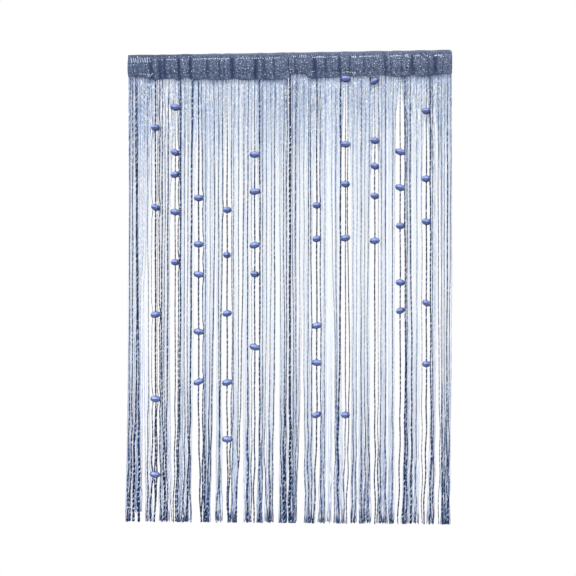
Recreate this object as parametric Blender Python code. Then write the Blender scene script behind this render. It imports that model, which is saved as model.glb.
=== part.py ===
"""A pair of string curtain panels as they hang side by side, gathered on a rod that is not part of it.

Each panel is a knitted band with an open rod pocket, a fringe of strings below it, and five beaded
strings with five faceted beads each.

Units are metres. X runs along the curtain to the viewer's right, -Y faces the room and Z is up.
The origin is the middle of the pair's top edge, so everything hangs below Z = 0. The pair is one
metre wide as gathered. Tables are in millimetres and degrees, and everything else is in metres.
"""

import math
from collections import namedtuple

import bmesh
import bpy
from mathutils import Matrix, Vector

MM = 0.001

# Overall sizes
HEM_DROP = 1.447
PART_GAP = 0.0003

# Knitted band
POCKET_WALL = 0.0016
PUFF_SHARE = 0.075
PUFF_LEAST = 0.0012
PUFF_MOST = 0.0046
FLUTTER = 0.0022
CREASE_REACH = 0.0055
CREASE_SHARE = 0.30
CREASE_RISE = 0.72
NARROW_GATHER = 0.020
WIDE_GATHER = 0.045
END_ROUND = 0.009
END_ROUND_STATIONS = (0.6, 0.2)
SHARP_ANGLE = 50

# Strings
BACKING_HEIGHT = 0.003
BACKING_THICKNESS = 0.0024
STRAND = 0.0016
ROW_SPACING = 0.0028
TAPER = 0.006
BEADED_ROOT = 0.0016
BEADED_TAPER = 0.004
BARE_STEP = 0.005
EDGE_MARGIN = 1.0
UPPER_DROP = 0.300
MIDDLE_DROP = 0.720
LOWER_DROP = 1.150
UPPER_SHARE = 0.75
LOWER_SHARE = 0.45
LOCK_SWAY = 0.0025
LOCK_SWAY_STEP = 2.1
RAGGED = 0.004
RAGGED_STEP = 2.7

# Beads
BEAD_LENGTH = 0.031
BEAD_DEPTH = 0.020
BEAD_HEIGHT = 0.020
BORE_RADIUS = 0.00165
BEAD_SIDES = 8
SHOULDER_REACH = 0.78
SHOULDER_HEIGHT = 0.68

# The band's section at one gather: drop below the top edge and half depth in millimetres,
# then the shares of the gathers' puff and of the free edges' flutter that reach that level
Level = namedtuple("Level", "drop half_depth puff flutter")
BAND_LEVELS = (
    Level(0.0, 1.5, 0.20, 1.00),
    Level(12.5, 1.7, 0.25, 0.40),
    Level(22.0, 7.8, 0.80, 0.10),
    Level(40.0, 10.6, 1.00, 0.00),
    Level(56.0, 8.0, 0.80, 0.10),
    Level(68.0, 1.9, 0.35, 0.50),
    Level(77.0, 1.4, 0.20, 1.00),
)
HEADER_SEAM = 12.5
POCKET_TOP = 17.0
POCKET_UPPER = 26.0
POCKET_LOWER = 53.0
POCKET_SEAM = 56.0
POCKET_BOTTOM = 62.0

# A beaded string: where it leaves the band, where it ends at the hem, the clear space beside its
# root, and its beads' drops, turns about the string and tilts
Column = namedtuple("Column", "x hem_x root_window drops turns tilts")

# A lock of plain strings between two beaded ones: section counts them from the panel's left,
# short is how far its cut ends stop above the hem
Lock = namedtuple("Lock", "section count mid_x mid_width hem_x hem_width short")

# A point of the band's lower edge
Edge = namedtuple("Edge", "x drop")

Panel = namedtuple("Panel", "side start end creases edges columns locks")

LEFT = Panel(
    side="left",
    start=-499.0,
    end=-0.3,
    creases=(-426, -398, -383, -339, -304, -250, -213, -199, -174, -100, -74, -43),
    edges=(
        Edge(-499, 67), Edge(-470, 67), Edge(-430, 75), Edge(-404, 78), Edge(-361, 75),
        Edge(-338, 80), Edge(-318, 72), Edge(-295, 80), Edge(-185, 81), Edge(-167, 78),
        Edge(-140, 82), Edge(0, 82),
    ),
    columns=(
        Column(-413.5, -417, 10, (226, 473, 805, 1066, 1300), (45, 38, 25, 12, 8), (0, -12, 6, -3, -5)),
        Column(-352, -358, 14, (164, 304, 372, 488, 643), (20, 35, 35, 20, 45), (-5, -12, 10, -3, 0)),
        Column(-279, -272, 5, (445, 588, 681, 858, 1013), (28, 24, 10, 15, 8), (0, 0, -6, -5, 15)),
        Column(-190, -188, 5, (483, 622, 802, 1015, 1190), (45, 65, 30, 18, 8), (0, 0, 6, 8, -3)),
        Column(-105, -108, 10, (313, 427, 592, 681, 906), (12, 8, 15, 42, 18), (0, 3, 8, -6, -10)),
    ),
    locks=(
        Lock(0, 7, -488, 18, -500, 12, 0),
        Lock(0, 6, -466, 15, -471, 28, 38),
        Lock(0, 4, -443, 22, -440, 14, 3),
        Lock(1, 7, -382, 24, -389, 20, 4),
        Lock(2, 6, -329, 11, -340, 11, 0),
        Lock(2, 6, -306, 18, -318, 18, 3),
        Lock(3, 6, -256, 11, -257, 14, 0),
        Lock(3, 5, -236, 14, -242, 8, 2),
        Lock(3, 5, -215, 14, -215, 18, 6),
        Lock(4, 6, -165, 14, -167, 12, 0),
        Lock(4, 6, -131, 18, -127, 14, 2),
        Lock(5, 7, -79, 15, -89, 14, 0),
        Lock(5, 6, -51, 22, -57, 15, 4),
        Lock(5, 8, -16, 26, -17, 22, 0),
    ),
)

RIGHT = Panel(
    side="right",
    start=0.3,
    end=499.0,
    creases=(22, 80, 114, 157, 188, 231, 296, 315, 346, 378, 426, 447, 471),
    edges=(
        Edge(0, 64), Edge(55, 64), Edge(72, 82), Edge(84, 82), Edge(96, 79), Edge(148, 78),
        Edge(164, 70), Edge(185, 70), Edge(200, 77), Edge(222, 73), Edge(250, 78), Edge(281, 74),
        Edge(318, 78), Edge(349, 81), Edge(380, 75), Edge(414, 81), Edge(438, 76), Edge(481, 72),
        Edge(499, 72),
    ),
    columns=(
        Column(86.5, 77, 5, (471, 574, 840, 954, 1114), (42, 40, 8, 16, 46), (0, 5, 8, -4, 15)),
        Column(174.5, 167, 17, (84.5, 285, 407, 572, 1114), (10, 20, 34, 20, 32), (0, 0, 0, 8, 0)),
        Column(264, 265, 13, (93, 275, 353, 444, 581), (34, 30, 34, 44, 12), (20, -3, -8, -4, 3)),
        Column(341.5, 335, 10, (310, 419, 536, 709, 795), (10, 18, 44, 30, 44), (-8, -8, 0, -3, 10)),
        Column(421, 413, 10, (186, 393, 524, 772, 958), (34, 30, 32, 52, 54), (3, 4, -4, -14, 0)),
    ),
    locks=(
        Lock(0, 7, 13, 17, 9, 15, 0),
        Lock(0, 4, 35, 15, 31, 12, 5),
        Lock(0, 7, 60, 17, 57, 14, 0),
        Lock(1, 6, 111, 13, 101, 13, 2),
        Lock(1, 3, 130, 10, 119, 8, 6),
        Lock(1, 7, 149, 14, 143, 15, 0),
        Lock(2, 6, 200, 14, 198, 15, 3),
        Lock(2, 5, 221, 14, 223, 11, 0),
        Lock(2, 5, 240, 11, 243, 13, 5),
        Lock(3, 6, 290, 14, 287, 17, 2),
        Lock(3, 6, 315, 16, 313, 14, 0),
        Lock(4, 7, 367, 14, 354, 15, 0),
        Lock(4, 7, 392, 22, 380, 22, 4),
        Lock(5, 6, 445, 11, 434, 17, 3),
        Lock(5, 12, 482, 30, 479, 23, 0),
    ),
)

Strand = namedtuple("Strand", "root_from root_to path")


def mix(a, b, share):
    return a + (b - a) * share


def read_table(rows, key, column, at):
    """Value of a column at a place between two rows, by straight interpolation."""
    keys = [getattr(row, key) for row in rows]
    values = [getattr(row, column) for row in rows]
    if at <= keys[0]:
        return values[0]
    for low, high, a, b in zip(keys, keys[1:], values, values[1:]):
        if at <= high:
            return mix(a, b, (at - low) / (high - low))
    return values[-1]


def material(name, colour, roughness, metallic=0.0):
    """A plain finish with the part's own colour."""
    made = bpy.data.materials.new(name)
    made.use_nodes = True
    shader = made.node_tree.nodes["Principled BSDF"]
    shader.inputs["Base Color"].default_value = (*colour, 1.0)
    shader.inputs["Roughness"].default_value = roughness
    shader.inputs["Metallic"].default_value = metallic
    return made


def add_object(name, bm, finish):
    """Closes the mesh data and puts it in the scene as one named object."""
    bmesh.ops.recalc_face_normals(bm, faces=bm.faces)
    mesh = bpy.data.meshes.new(name)
    bm.to_mesh(mesh)
    bm.free()
    mesh.materials.append(finish)
    made = bpy.data.objects.new(name, mesh)
    bpy.context.collection.objects.link(made)
    return made


# Band

def gather_bounds(panel):
    return [panel.start, *panel.creases, panel.end]


def crease_reach(low, high):
    """How far a crease's sides reach into the gather beside it, in millimetres."""
    return min(CREASE_REACH / MM, CREASE_SHARE * (high - low))


def band_puff(panel, x):
    """How far the gather at x swells out: zero in each crease, steep beside it and full in the middle."""
    bounds = gather_bounds(panel)
    for low, high in zip(bounds, bounds[1:]):
        if low <= x <= high:
            swell = min(PUFF_LEAST + PUFF_SHARE * (high - low) * MM, PUFF_MOST)
            reach = crease_reach(low, high)
            inside = min(x - low, high - x)
            if inside < reach:
                return swell * CREASE_RISE * inside / reach
            crown = math.sin(math.pi / 2 * (inside - reach) / ((high - low) / 2 - reach))
            return swell * mix(CREASE_RISE, 1.0, crown)
    return 0.0


def edge_flutter(panel, x):
    """Sideways wave of the band's free edges, one gather to the front and the next to the back."""
    bounds = gather_bounds(panel)
    for index, (low, high) in enumerate(zip(bounds, bounds[1:])):
        if low <= x <= high:
            side = -1 if index % 2 == 0 else 1
            return side * FLUTTER * math.sin(math.pi * (x - low) / (high - low))
    return 0.0


def edge_drop(panel, x):
    """Drop of the band's lower edge below the top, in metres."""
    return read_table(panel.edges, "x", "drop", x) * MM


def top_drop(panel, x):
    """The pair's right-hand top corner is rounded off."""
    inset = (panel.end - x) * MM
    if panel.side == "left" or inset > END_ROUND:
        return 0.0
    return END_ROUND - math.sqrt(END_ROUND ** 2 - (END_ROUND - inset) ** 2)


def band_z(panel, x, drop):
    """Height of a nominal drop. The pocket is level, and the band's two edges wander beyond it."""
    if drop < HEADER_SEAM:
        return -mix(top_drop(panel, x), HEADER_SEAM * MM, drop / HEADER_SEAM)
    if drop > POCKET_SEAM:
        share = (drop - POCKET_SEAM) / (BAND_LEVELS[-1].drop - POCKET_SEAM)
        return -mix(POCKET_SEAM * MM, edge_drop(panel, x), share)
    return -drop * MM


def band_point(panel, x, drop, side, inset=0.0):
    """A point of the band: side is -1 on the front wall, 1 on the back wall and 0 between them."""
    half = read_table(BAND_LEVELS, "drop", "half_depth", drop) * MM
    puff = read_table(BAND_LEVELS, "drop", "puff", drop) * band_puff(panel, x)
    flutter = read_table(BAND_LEVELS, "drop", "flutter", drop) * edge_flutter(panel, x)
    return Vector((x * MM, flutter + side * (half + puff - inset), band_z(panel, x, drop)))


def band_section(panel, x):
    """The band's section at x: fourteen points outside, then six around the pocket."""
    drops = [level.drop for level in BAND_LEVELS]
    front = [band_point(panel, x, drop, -1) for drop in drops]
    back = [band_point(panel, x, drop, 1) for drop in reversed(drops)]
    pocket = [
        band_point(panel, x, POCKET_TOP, 0),
        band_point(panel, x, POCKET_UPPER, -1, POCKET_WALL),
        band_point(panel, x, POCKET_LOWER, -1, POCKET_WALL),
        band_point(panel, x, POCKET_BOTTOM, 0),
        band_point(panel, x, POCKET_LOWER, 1, POCKET_WALL),
        band_point(panel, x, POCKET_UPPER, 1, POCKET_WALL),
    ]
    return front + back + pocket


def band_stations(panel):
    """Places along the band: each crease, the tops of its sides, and up to two on each gather's crown."""
    stations = []
    bounds = gather_bounds(panel)
    for low, high in zip(bounds, bounds[1:]):
        reach = crease_reach(low, high)
        width = (high - low) * MM
        crowns = (1 / 3, 2 / 3) if width > WIDE_GATHER else (1 / 2,)
        if width < NARROW_GATHER:
            crowns = ()
        stations += [low, low + reach, *(mix(low, high, share) for share in crowns), high - reach]
    stations.append(panel.end)
    if panel.side == "right":
        stations[-1:-1] = [panel.end - share * END_ROUND / MM for share in END_ROUND_STATIONS]
    return stations


def band_cap(bm, points):
    """The ring of faces between the section's outside and its pocket."""
    number = bm.verts.layers.int.new("number")
    verts = []
    for index, point in enumerate(points):
        vert = bm.verts.new(point)
        vert[number] = index
        verts.append(vert)
    top, front_up, front_low, bottom, back_low, back_up = verts[14:]
    front_side = [top, top, front_up, front_up, front_low, bottom, bottom]
    back_side = [bottom, bottom, back_low, back_up, back_up, top, top]
    partners = front_side + back_side
    outside = verts[:14]
    faces = []
    for index in range(14):
        following = (index + 1) % 14
        corners = [outside[index], outside[following], partners[following]]
        if partners[index] is not partners[following]:
            corners.append(partners[index])
        faces.append(bm.faces.new(corners))
    return faces, number


def build_band(panel, finish):
    """Extrudes the section along the panel, gather by gather."""
    bm = bmesh.new()
    stations = band_stations(panel)
    faces, number = band_cap(bm, band_section(panel, stations[0]))
    for step, x in enumerate(stations[1:]):
        section = band_section(panel, x)
        made = bmesh.ops.extrude_face_region(bm, geom=faces)["geom"]
        for vert in made:
            if isinstance(vert, bmesh.types.BMVert):
                vert.co = section[vert[number]]
        if step > 0:
            bmesh.ops.delete(bm, geom=faces, context="FACES_ONLY")
        faces = [face for face in made if isinstance(face, bmesh.types.BMFace)]
    band = add_object(f"heading_{panel.side}", bm, finish)
    band.data.shade_smooth()
    band.data.set_sharp_from_angle(angle=math.radians(SHARP_ANGLE))
    return band


# Strings

def modelled_edge(panel, x):
    """Drop of the band's modelled lower edge, which runs straight from station to station."""
    stations = band_stations(panel)
    x = min(max(x, stations[0]), stations[-1])
    for low, high in zip(stations, stations[1:]):
        if x <= high:
            return mix(edge_drop(panel, low), edge_drop(panel, high), (x - low) / (high - low))
    return edge_drop(panel, stations[-1])


def backing_top(panel, low, high):
    """Height of the backing's top between two places: just below the band's lowest point there."""
    samples = [mix(low, high, step / 4) for step in range(5)]
    return -max(modelled_edge(panel, x) for x in samples) - PART_GAP


def spread(centre, width, index, count):
    """Place of one strand in a lock."""
    return centre + width * (index / (count - 1) - 0.5)


def root_height(panel, x):
    return backing_top(panel, x - 3, x + 3) - BACKING_HEIGHT


def lock_strand(panel, lock, order, index, root_from, root_to):
    """A plain strand's path down its lock, in one of two staggered rows."""
    root = (root_from + root_to) / 2
    row = ROW_SPACING / 2 * (1 if index % 2 == 0 else -1)
    sway = LOCK_SWAY * math.sin(LOCK_SWAY_STEP * order)
    mid = spread(lock.mid_x, lock.mid_width, index, lock.count)
    hem = spread(lock.hem_x, lock.hem_width, index, lock.count)
    ragged = RAGGED * (1 - math.sin(RAGGED_STEP * index + order))
    end_drop = HEM_DROP - lock.short * MM - ragged
    path = [
        Vector((root * MM, edge_flutter(panel, root) + row / 2, root_height(panel, root) - TAPER)),
        Vector((mix(root, mid, UPPER_SHARE) * MM, row + sway / 2, -UPPER_DROP)),
        Vector((mid * MM, row + sway, -MIDDLE_DROP)),
        Vector((mix(mid, hem, LOWER_SHARE) * MM, row + sway, -LOWER_DROP)),
        Vector((hem * MM, row + sway / 2, -end_drop)),
    ]
    return Strand(root_from, root_to, path)


def beaded_strand(panel, column):
    """A beaded strand hangs plumb, and only its last stretch drifts."""
    half = BEADED_ROOT / MM / 2
    depth = edge_flutter(panel, column.x)
    path = [Vector((column.x * MM, depth, root_height(panel, column.x) - BEADED_TAPER))]
    path += [Vector((column.x * MM, depth, -drop)) for drop in (UPPER_DROP, MIDDLE_DROP, LOWER_DROP)]
    path.append(Vector((column.hem_x * MM, depth, -HEM_DROP)))
    return Strand(column.x - half, column.x + half, path)


def section_roots(panel, section):
    """Where the plain strands' roots begin and end between two beaded strings."""
    low = panel.start + EDGE_MARGIN
    high = panel.end - EDGE_MARGIN
    if section > 0:
        low = panel.columns[section - 1].x + panel.columns[section - 1].root_window
    if section < len(panel.columns):
        high = panel.columns[section].x - panel.columns[section].root_window
    return low, high


def panel_strands(panel):
    """All strands of a panel from left to right."""
    strands = []
    for section in range(len(panel.columns) + 1):
        low, high = section_roots(panel, section)
        locks = [(order, lock) for order, lock in enumerate(panel.locks) if lock.section == section]
        total = sum(lock.count for _, lock in locks)
        place = 0
        for order, lock in locks:
            for index in range(lock.count):
                root_from = mix(low, high, place / total)
                root_to = mix(low, high, (place + 1) / total)
                strands.append(lock_strand(panel, lock, order, index, root_from, root_to))
                place += 1
        if section < len(panel.columns):
            strands.append(beaded_strand(panel, panel.columns[section]))
    return strands


def backing_cells(strands):
    """The backing's cells from left to right: each one's end, and whether a strand is rooted in it."""
    cells = []
    place = strands[0].root_from
    for strand in strands:
        steps = round((strand.root_from - place) * MM / BARE_STEP)
        cells += [(mix(place, strand.root_from, (step + 1) / steps), False) for step in range(steps)]
        cells.append((strand.root_to, True))
        place = strand.root_to
    return cells


def build_backing(bm, panel, strands, number):
    """The narrow strip that the strings are fused into. Returns its numbered root faces."""
    cells = backing_cells(strands)
    places = [strands[0].root_from] + [end for end, _ in cells]
    rows = []
    for before, place, after in zip([places[0], *places], places, [*places[1:], places[-1]]):
        top = backing_top(panel, before, after)
        middle = edge_flutter(panel, place)
        corners = ((-1, 0.0), (1, 0.0), (1, -BACKING_HEIGHT), (-1, -BACKING_HEIGHT))
        row = [
            bm.verts.new((place * MM, middle + side * BACKING_THICKNESS / 2, top + fall))
            for side, fall in corners
        ]
        rows.append(row)
    roots = []
    for left, right, (_, rooted) in zip(rows, rows[1:], cells):
        for corner in range(4):
            following = (corner + 1) % 4
            face = bm.faces.new((left[corner], right[corner], right[following], left[following]))
            if corner == 2 and rooted:
                face[number] = len(roots)
                roots.append(face)
    bm.faces.new(rows[0])
    bm.faces.new(rows[-1])
    return roots


def grow_strands(bm, roots, strands, number):
    """Draws each root face out along its strand's path."""
    half = STRAND / 2
    corners = ((-half, half), (half, half), (half, -half), (-half, -half))
    tips = roots
    for level in range(len(strands[0].path)):
        tips = bmesh.ops.extrude_discrete_faces(bm, faces=tips)["faces"]
        for face in tips:
            point = strands[face[number]].path[level]
            for vert, (across, deep) in zip(face.verts, corners):
                vert.co = point + Vector((across, deep, 0.0))


def build_strings(panel, finish):
    bm = bmesh.new()
    number = bm.faces.layers.int.new("number")
    strands = panel_strands(panel)
    roots = build_backing(bm, panel, strands, number)
    grow_strands(bm, roots, strands, number)
    return add_object(f"strings_{panel.side}", bm, finish)


# Beads

def string_place(path, drop):
    """The point of a strand's path at a drop."""
    for upper, lower in zip(path, path[1:]):
        if drop <= -lower.z:
            return upper.lerp(lower, (drop + upper.z) / (upper.z - lower.z))
    return path[-1].copy()


def bead_shape():
    """A faceted oval bead with an upright bore, spun from half its outline."""
    half_length = BEAD_LENGTH / 2
    half_height = BEAD_HEIGHT / 2
    outline = (
        (BORE_RADIUS, half_height),
        (half_length * SHOULDER_REACH, half_height * SHOULDER_HEIGHT),
        (half_length, 0.0),
        (half_length * SHOULDER_REACH, -half_height * SHOULDER_HEIGHT),
        (BORE_RADIUS, -half_height),
    )
    bm = bmesh.new()
    verts = [bm.verts.new((x, 0.0, z)) for x, z in outline]
    edges = [bm.edges.new(pair) for pair in zip(verts, verts[1:] + verts[:1])]
    bmesh.ops.spin(
        bm, geom=verts + edges, cent=(0, 0, 0), axis=(0, 0, 1), angle=math.tau,
        steps=BEAD_SIDES, use_merge=True,
    )
    for vert in bm.verts:
        if vert.co.xy.length > 2 * BORE_RADIUS:
            vert.co.y *= BEAD_DEPTH / BEAD_LENGTH
    return bm


def build_bead(name, place, turn, tilt, finish):
    """Turns a bead about its string and tips its ends, while its bore stays upright."""
    bm = bead_shape()
    bmesh.ops.rotate(bm, verts=bm.verts, cent=(0, 0, 0), matrix=Matrix.Rotation(math.radians(turn), 3, "Z"))
    slope = math.tan(math.radians(tilt))
    for vert in bm.verts:
        vert.co.z += slope * vert.co.x
    bead = add_object(name, bm, finish)
    bead.location = place
    return bead


def build_beads(panel, finish):
    for place, column in enumerate(panel.columns, start=1):
        path = beaded_strand(panel, column).path
        for row, (drop, turn, tilt) in enumerate(zip(column.drops, column.turns, column.tilts), start=1):
            point = string_place(path, drop * MM)
            build_bead(f"bead_{panel.side}_{place}_{row}", point, turn, tilt, finish)


def main():
    for old in list(bpy.data.objects):
        bpy.data.objects.remove(old)
    band_finish = material("slate_knit", (0.105, 0.135, 0.215), 0.75)
    string_finish = material("silver_blue_string", (0.30, 0.36, 0.50), 0.55)
    bead_finish = material("periwinkle_bead", (0.20, 0.26, 0.55), 0.15)
    for panel in (LEFT, RIGHT):
        build_band(panel, band_finish)
        build_strings(panel, string_finish)
        build_beads(panel, bead_finish)


main()
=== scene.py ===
"""Looks of a pair of beaded string curtain panels that hang gathered side by side.

Each panel is a doubled knitted band with an open rod pocket, rows of silver stitches and loose
flecks on its front, a veil of fine strings, darker ribbon strings, and five strings threaded with
beads. Units are metres, +Z is up, -Y faces the room, and the origin is the middle of the pair's
top edge. The tables and the functions that place the cloth and strings work in millimetres.
"""

import random
from collections import namedtuple
from math import cos, exp, pi, radians, sin, sqrt, tau

import bmesh
import bpy
from mathutils import Matrix, Vector, noise


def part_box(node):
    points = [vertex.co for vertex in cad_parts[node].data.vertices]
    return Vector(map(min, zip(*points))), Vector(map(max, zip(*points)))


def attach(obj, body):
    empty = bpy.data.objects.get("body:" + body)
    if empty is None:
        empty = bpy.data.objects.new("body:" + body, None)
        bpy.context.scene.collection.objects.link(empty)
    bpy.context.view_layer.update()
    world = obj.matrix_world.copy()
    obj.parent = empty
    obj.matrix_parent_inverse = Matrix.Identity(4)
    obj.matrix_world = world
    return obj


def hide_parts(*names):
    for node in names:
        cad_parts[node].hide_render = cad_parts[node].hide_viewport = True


MM = 0.001

# Cut size of each band, in metres
BAND_FLAT_WIDTH = 0.65
BAND_FLAT_LENGTH = 0.158

# Shape of the bands, the cloth's grid among it
BAND_STATION = 1.25
FRONT_ROWS = 40
BACK_ROWS = 24
FOLD_ROWS = 5
FOLD_RISE = 0.15
CLOTH = 0.9
LEAST_HALF_DEPTH = 1.15
FLUTTER = 2.2
LEAST_SWELL = 1.2
SWELL_SHARE = 0.075
MOST_SWELL = 4.6
PLEAT_LENGTH = 12.5
PLEAT_HEIGHT = 1.2
PLEAT_DRIFT = 0.9
END_ROUND = 9
TOP_SAG = 1.2
# Drop over which the painted highlight along the top fold fades out
CREST = 8.5
MAIN_CREASE = 2
CREASE_DEPTH = 0.5
CREASE_SHADE_DEPTH = 4.2

# The left band's last corner: where it begins to turn, over what length, and how far it goes
CURL_DROP = 48
CURL_REACH = 26
CURL = Vector((5, -6.5, 2))

# Silver stitches, flecks, and the loops of the lower edge
STITCH_THICKNESS = 0.75
STITCH_PROUD = 0.3
STITCH_LINK = 4.5
SLANTED_HEIGHT = 9
LINK_LAP = 1.1
FLECK_PITCH = 8.4
FLECK_MARGIN = 4
FLECK_SIZES = (1.4, 2.8)
FLECK_CHANCES = (0.45, 0.95)
EDGE_LOOP = 3.2
EDGE_MARGIN = 2
EDGE_LOOP_SIZE = (1.3, 1.9, 2.3)

# Strings
HEM_DROP = 1447
LOOSENING = 60
END_ROOM = 1.2
BEADED_ROOM = 1.4
STRINGS_PER_STRAND = 4
STRAND_FILL = 0.5
FINE_LEVELS = 76
FINE_WIDTH = 0.62
FINE_DEPTH = 4
ROOT_SWELL = 1.4
ROOT_TAPER = 380
SLIM_DROP = 700
SLIM_REACH = 270
MIDDLE_SLIM = 0.27
SPREAD_DROP = 1120
SPREAD_REACH = 300
HEM_SWELL = 0.67
HEM_SWELL_REACH = 330
HEM_WANDER = 2
TUFT = 42
TUFT_SWELL = 1.15
CURLY_DROP = 1290
CURLY_REACH = 150
CURLY_SHARE = 2.2
DRIFT_LENGTHS = (260, 640)
KINK_LENGTHS = (46, 84)
EVEN_ENDS = 0.88
RAGGED = 4
TANGLE_WAVES = 5.5

# Ribbon and beaded strings
RIBBON_STEP = 4.2
RIBBON_LEVELS = 329
RIBBON_TURNS = (13.5, 17, 22)
RIBBON_DEPTHS = (-5.2, -4.6, -4)
RIBBON_FULLNESS = 1.2
RIBBON_WIDENING = 487
WIDE_RIBBON = 3.5
NARROW_ROOT = 0.62
BEADED_TURN = 13
BEADED_FULLNESS = 1.15
BEAD_CLEARANCE = 1.8
BEAD_ASIDE = 4
BEAD_REACH = 30

# Corners of a string's section, for a half width of one
THREE_SIDED = ((0, 1.15), (1, -0.58), (-1, -0.58))
FLAT = ((-1, 0.6), (1, 0.6), (1, -0.6), (-1, -0.6))

# Drops below the top edge at which the tables place the strings
UPPER = 530
MIDDLE = 720
WAIST = 900
PLUMB = 1150
LOWER = 1240

# Beads: lengths in metres, and how much fuller they are than their solids
BEAD_BEVEL = 0.0005
BEAD_BORE = 0.003
BEAD_MERGE = 0.00001
BEAD_FULLNESS = 1.09

# View: metres, degrees, watts, and a lens in millimetres
CAMERA_DISTANCE = 4
CAMERA_TURN = 3.95
CAMERA_HEIGHT = -0.955
CAMERA_LENS = 81.35
CAMERA_SHIFT = (-0.0012, 0.1303)
FLOOR_RADIUS = 0.8
FLOOR_HEIGHT = -1.75
LAMP_PLACE = Vector((-1.2, -2.4, 0.5))
LAMP_AIM = Vector((0, 0, -0.6))
LAMP_SIZE = 1.6
LAMP_POWER = 34

# Colours in linear light; a pair runs from dark to light
KNIT_YARN = (0.054, 0.08, 0.148), (0.116, 0.152, 0.248)
KNIT_LOOPS = (0.012, 0.021, 0.06)
KNIT_SILVER = (0.46, 0.53, 0.66)
KNIT_LEFT = (0.02, 0.036, 0.095)
# Painted shade laid over the band's creases
KNIT_CREASE_SHADE = (0.014, 0.025, 0.072)
# Painted highlight along the band's top fold
KNIT_CREST_HIGHLIGHT = (0.14, 0.172, 0.256)
SLATE = (0.01, 0.038, 0.138), (0.14, 0.275, 0.58)
ICE = (0.67, 0.8, 0.97)
VEIL = (0.13, 0.182, 0.34), (0.328, 0.418, 0.6)
FINE_SILVER = (0.86, 0.92, 0.98)
# Colour of the painted glints on the fine yarn
FINE_GLINT = (0.93, 0.96, 1)
FINE_ROOT = (0.055, 0.088, 0.19)
FINE_LOWER = (0.038, 0.128, 0.41)
FINE_TUFT = (0.008, 0.034, 0.145)
NAVY = (0.001, 0.006, 0.032), (0.008, 0.031, 0.112)
NAVY_ROOT = (0.112, 0.152, 0.258)
RIBBON_SILVER = (0.6, 0.74, 0.98)
STITCH_SILVER = (0.26, 0.33, 0.46), (0.9, 0.95, 1)
# Bead colours: painted shade low on the bead up to its body colour, a painted highlight on its upper
# facets, and painted shade round its rim
BEAD_SHADE_TO_BODY = (0.01, 0.02, 0.09), (0.08, 0.115, 0.3)
BEAD_TOP_HIGHLIGHT = (0.34, 0.43, 0.82)
BEAD_RIM_SHADE = (0.016, 0.032, 0.125)
FLOOR_WHITE = (0.86, 0.87, 0.88, 1)
WHITE = (1, 1, 1, 1)


def table(kind, *rows):
    """Rows of one kind, written as plain numbers."""
    return tuple(kind(*row) for row in rows)


# The band's section at one gather: drop, half depth, and the shares of the gathers' swell, of the
# creases, of the small pleats and of the free edges' flutter that reach that level
Level = namedtuple("Level", "drop half_depth swell crease pleat flutter")
BAND_LEVELS = table(
    Level,
    (0, 1.4, 0.2, 0.05, 0.5, 1), (6, 1.6, 0.22, 0.1, 0.8, 0.7), (12.5, 1.5, 0.22, 0.25, 0.6, 0.4),
    (16, 3.2, 0.4, 0.7, 0.8, 0.25), (22, 7.6, 0.8, 1, 1, 0.1), (40, 10.6, 1, 1.1, 1, 0),
    (56, 8, 0.8, 1, 1, 0.1), (62, 4, 0.5, 0.85, 1, 0.3), (68, 1.9, 0.35, 0.7, 0.9, 0.5),
    (77, 1.5, 0.2, 0.5, 0.8, 1),
)
HEADER_SEAM = 12.5
POCKET_SEAM = 56
BAND_DEPTH = 77

# A main crease of the band: its place at the pocket's middle, how deep and how wide it is, and how
# far it leans to the right between the band's top and its lower edge
Crease = namedtuple("Crease", "x depth width lean", defaults=[0])

# A point of the band's lower edge
Edge = namedtuple("Edge", "x drop")

# A lock of fine strings between two beaded ones: section counts them from the panel's left, count
# is in strands, short is how far its cut ends stop above the hem, and slate is the share of its
# strands that is darker than ice blue
Lock = namedtuple("Lock", "section count mid_x mid_width hem_x hem_width short slate")

# A ribbon string: its place 0.9 m down, how far it is aside from that at the other heights, and its
# width above and at the hem
Ribbon = namedtuple("Ribbon", "x root upper lower hem width hem_width")

# A beaded string: its place at the band and at the hem, the drop where the fine strings have parted
# from it, and its width
Column = namedtuple("Column", "x hem_x parted width")

# A row of silver stitches on the band, their step, and one stitch's width and height
Stitches = namedtuple("Stitches", "start end drop step width height")

# A place where fine strings loop across each other
Tangle = namedtuple("Tangle", "x drop width height reach")

Panel = namedtuple("Panel", "side start end seed creases edges columns locks ribbons stitches tangles")
Thread = namedtuple("Thread", "path widths turns section shade")
Bead = namedtuple("Bead", "x y drop half_width half_depth half_height")

LEFT_CREASES = table(
    Crease,
    (-481, 1.2, 5), (-452, 1.3, 5, 2), (-426, 4.6, 7, 6), (-398, 3.8, 8, 2), (-383, 3.6, 6, 3),
    (-361, 1.3, 5), (-339, 4.2, 7, 4), (-304, 4, 8, 3), (-286, 1.4, 5, -2), (-250, 2.6, 6, 2),
    (-232, 1.2, 4), (-213, 2.6, 6), (-199, 2, 4), (-174, 5, 8, 2), (-152, 1.4, 5, -2), (-128, 1.5, 6, 2),
    (-100, 4.4, 8, -5), (-74, 3, 9, 4), (-43, 2.2, 6, 3), (-22, 1.2, 5),
)
LEFT_EDGES = table(
    Edge,
    (-499, 67), (-470, 67), (-430, 75), (-404, 78), (-361, 75), (-338, 80), (-318, 72), (-295, 80),
    (-260, 77), (-240, 81), (-185, 81), (-167, 78), (-140, 82), (0, 82),
)
LEFT_COLUMNS = table(
    Column,
    (-413.5, -417, 650, 3.4), (-352, -358, 400, 2.4), (-279, -272, 420, 3.2), (-190, -188, 470, 3),
    (-105, -108, 600, 3),
)
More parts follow.
